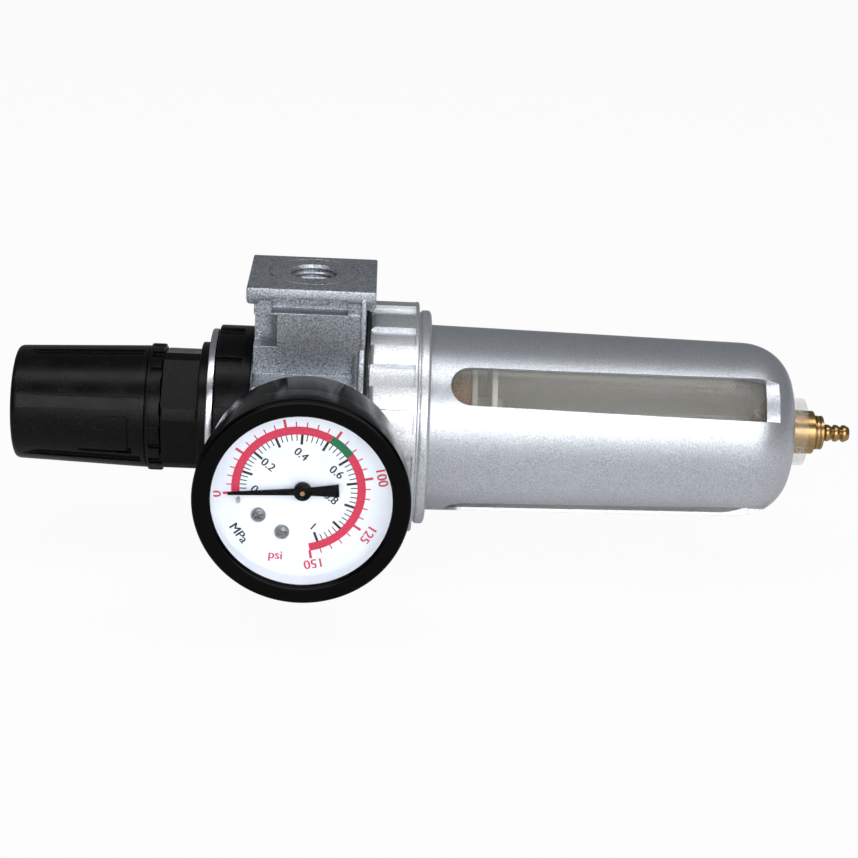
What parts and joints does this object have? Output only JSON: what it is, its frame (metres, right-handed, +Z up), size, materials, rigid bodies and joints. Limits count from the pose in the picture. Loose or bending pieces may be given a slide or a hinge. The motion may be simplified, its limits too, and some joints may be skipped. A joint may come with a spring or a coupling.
{
  "type": "filter regulator",
  "caption": "Air filter regulator lying on its side, with a turn-and-pull knob, ring-nut body, dial gauge, windowed bowl guard and push drain.",
  "frame": {"origin": "centre of the whole part's box at its lowest face, which is the lower port face", "axes": "+X from the knob along the main axis to the bowl and drain, -Y towards the gauge dial, +Z up through the upper port"},
  "size_m": [0.219, 0.0948, 0.0771],
  "materials": {
    "silver_casting": "sand-textured silver paint on a die casting",
    "silver_guard": "sand-textured silver paint on a pressed shell",
    "black_plastic": "satin black moulding",
    "zinc_plate": "bright zinc plate",
    "steel": "plain steel",
    "spring_steel": "oiled spring wire",
    "brass": "turned brass",
    "sintered_bronze": "sintered bronze, grainy",
    "black_rubber": "nitrile rubber",
    "clear_bowl": "clear polycarbonate",
    "gauge_window": "clear window",
    "white_plastic": "white acetal",
    "gauge_black": "gloss black enamel",
    "dial_white": "white enamel with printed scales"
  },
  "bodies": {
    "housing": {"body_casting": "silver_casting", "rear_plug": "steel", "rear_plug_washer": "black_rubber", "bonnet": "black_plastic", "bonnet_ring_nut": "black_plastic", "mounting_ring": "zinc_plate", "thrust_washer": "white_plastic", "main_spring": "spring_steel", "diaphragm": "black_rubber", "valve_spring": "spring_steel", "valve_holder": "white_plastic", "deflector": "white_plastic", "filter_element": "sintered_bronze", "baffle": "clear_bowl", "dust_seal": "black_rubber", "bowl_ring_nut": "silver_casting", "bowl_guard": "silver_guard", "bowl": "clear_bowl", "bowl_o_ring": "black_rubber", "drain_body": "brass", "drain_spring": "spring_steel", "gauge_case": "gauge_black", "gauge_bezel": "gauge_black", "gauge_lens": "gauge_window", "gauge_dial": "dial_white", "dial_screw_upper": "steel", "dial_screw_lower": "steel", "gauge_frame": "brass", "gauge_stop_pin": "steel", "gauge_stem": "brass", "bourdon_tube": "brass", "gauge_gasket": "white_plastic"},
    "adjusting_screw": {"adjusting_screw": "steel"},
    "knob": {"knob": "black_plastic"},
    "spring_nut": {"spring_nut": "brass"},
    "diaphragm_stack": {"diaphragm_plate": "zinc_plate", "relief_seat": "brass"},
    "valve": {"valve_stem": "brass", "valve_disc": "black_rubber"},
    "pointer": {"gauge_pointer": "gauge_black", "gauge_arbor": "brass"},
    "sector": {"gauge_sector": "brass"},
    "drain_stem": {"drain_stem": "brass", "drain_seal": "black_rubber"}
  },
  "joints": [
    {"name": "knob_turn", "type": "hinge", "parent": "housing", "child": "adjusting_screw", "pos_m": [-0.0892, 0.01525, 0.03855], "axis": [1, 0, 0], "range_deg": [0, 2160]},
    {"name": "knob_pull", "type": "slide", "parent": "adjusting_screw", "child": "knob", "axis": [-1, 0, 0], "range_m": [0, 0.003]},
    {"name": "spring_nut_travel", "type": "slide", "parent": "housing", "child": "spring_nut", "axis": [1, 0, 0], "range_m": [0, 0.00905], "deforming": ["main_spring"]},
    {"name": "diaphragm_lift", "type": "slide", "parent": "housing", "child": "diaphragm_stack", "axis": [1, 0, 0], "range_m": [0, 0.0012], "stiffness_N_per_m": 800, "deforming": ["diaphragm"]},
    {"name": "valve_lift", "type": "slide", "parent": "housing", "child": "valve", "axis": [1, 0, 0], "range_m": [0, 0.00125], "deforming": ["valve_spring"]},
    {"name": "pointer_turn", "type": "hinge", "parent": "housing", "child": "pointer", "pos_m": [-0.0328, -0.03475, 0.03855], "axis": [0, 1, 0], "range_deg": [0, 262], "stiffness_Nm_per_rad": 0.002},
    {"name": "sector_turn", "type": "hinge", "parent": "housing", "child": "sector", "pos_m": [-0.04189, -0.03475, 0.02712], "axis": [0, 1, 0], "range_deg": [-27, 0.5]},
    {"name": "drain_push", "type": "slide", "parent": "housing", "child": "drain_stem", "axis": [-1, 0, 0], "range_m": [0, 0.002], "stiffness_N_per_m": 400, "deforming": ["drain_spring"]}
  ],
  "couplings": [
    {"joint": "spring_nut_travel", "follows": "knob_turn", "m_per_rad": 0.00023873},
    {"joint": "valve_lift", "follows": "diaphragm_lift", "ratio": 1},
    {"joint": "sector_turn", "follows": "pointer_turn", "ratio": -0.1}
  ]
}
